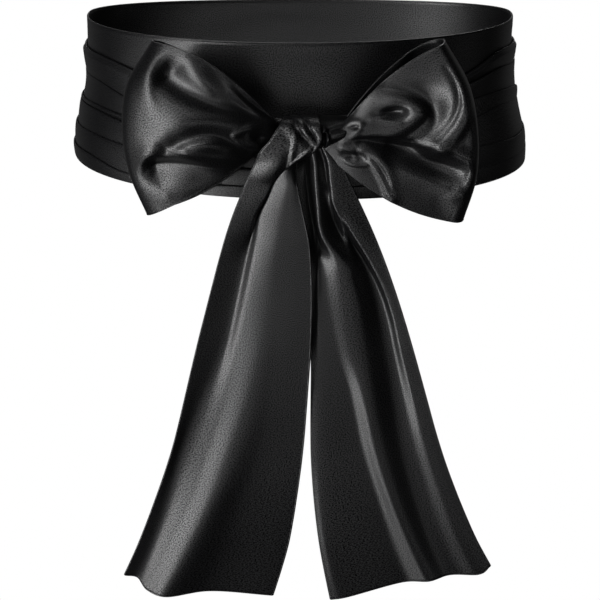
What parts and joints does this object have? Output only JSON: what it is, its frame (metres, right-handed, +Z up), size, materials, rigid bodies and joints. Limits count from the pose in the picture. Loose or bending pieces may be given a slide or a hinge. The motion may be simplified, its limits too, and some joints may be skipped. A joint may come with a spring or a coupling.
{
  "type": "satin waist sash tied in a bow",
  "caption": "Wide satin sash wound round the waist with flat upward pleats, tied at the front in a full hollow bow with a small knot and long flared tails.",
  "frame": {"origin": "middle of the waist opening, half way up the band, where the wearer's waist holds the sash", "axes": "+Z up along the wearer's body, the bow faces -Y, +X to the right as seen from the front"},
  "size_m": [0.3018, 0.2605, 0.3513],
  "materials": {
    "satin": "soft satin sheen, opaque black"
  },
  "bodies": {
    "root": {"inner_wrap": "satin", "outer_wrap": "satin", "loop_left": "satin", "loop_right": "satin", "knot": "satin", "tail_left": "satin", "tail_right": "satin"}
  },
  "joints": []
}
